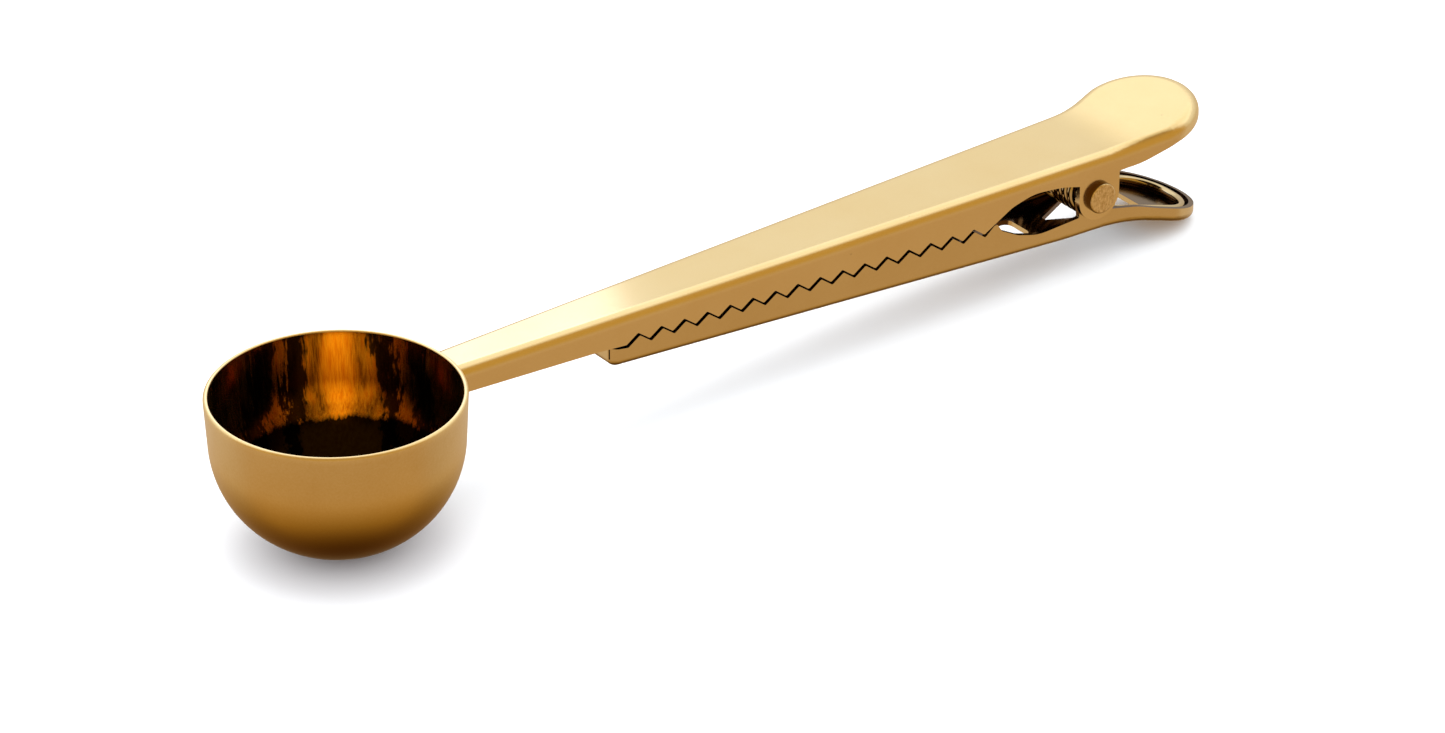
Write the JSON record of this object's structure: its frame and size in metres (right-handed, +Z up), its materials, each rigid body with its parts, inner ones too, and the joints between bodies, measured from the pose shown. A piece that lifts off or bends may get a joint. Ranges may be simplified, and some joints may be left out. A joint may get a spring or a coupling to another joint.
{
  "type": "coffee scoop with bag clip",
  "caption": "Coffee scoop in gold-coloured stainless steel: a round measuring bowl on a pressed channel handle that doubles as a toothed, spring-loaded bag clip.",
  "frame": {"origin": "centre of the bounding box on the table that the closed scoop lies on", "axes": "+X runs from the bowl to the finger tabs, +Y across the handle, +Z up from the table"},
  "size_m": [0.178, 0.038, 0.0248],
  "materials": {
    "gold_bowl": "gold-coloured coating on stainless steel: satin outside, brighter and brushed inside",
    "gold_arm": "gold-coloured coating on pressed stainless steel, fine satin",
    "gold_pin": "gold-coloured, turned, fine scratches on the end faces",
    "spring_wire": "bright drawn spring wire with a pale gold tint"
  },
  "bodies": {
    "handle": {"scoop_bowl": "gold_bowl", "upper_arm": "gold_arm", "hinge_pin": "gold_pin"},
    "lower_jaw": {"lower_arm": "gold_arm", "torsion_spring": "spring_wire"}
  },
  "joints": [
    {"name": "clip_hinge", "type": "hinge", "parent": "handle", "child": "lower_jaw", "pos_m": [0.06519, 0, 0.01245], "axis": [0, -1, 0], "range_deg": [0, 30], "stiffness_Nm_per_rad": 0.54, "springref_deg": -31.51, "deforming": ["torsion_spring"]}
  ]
}
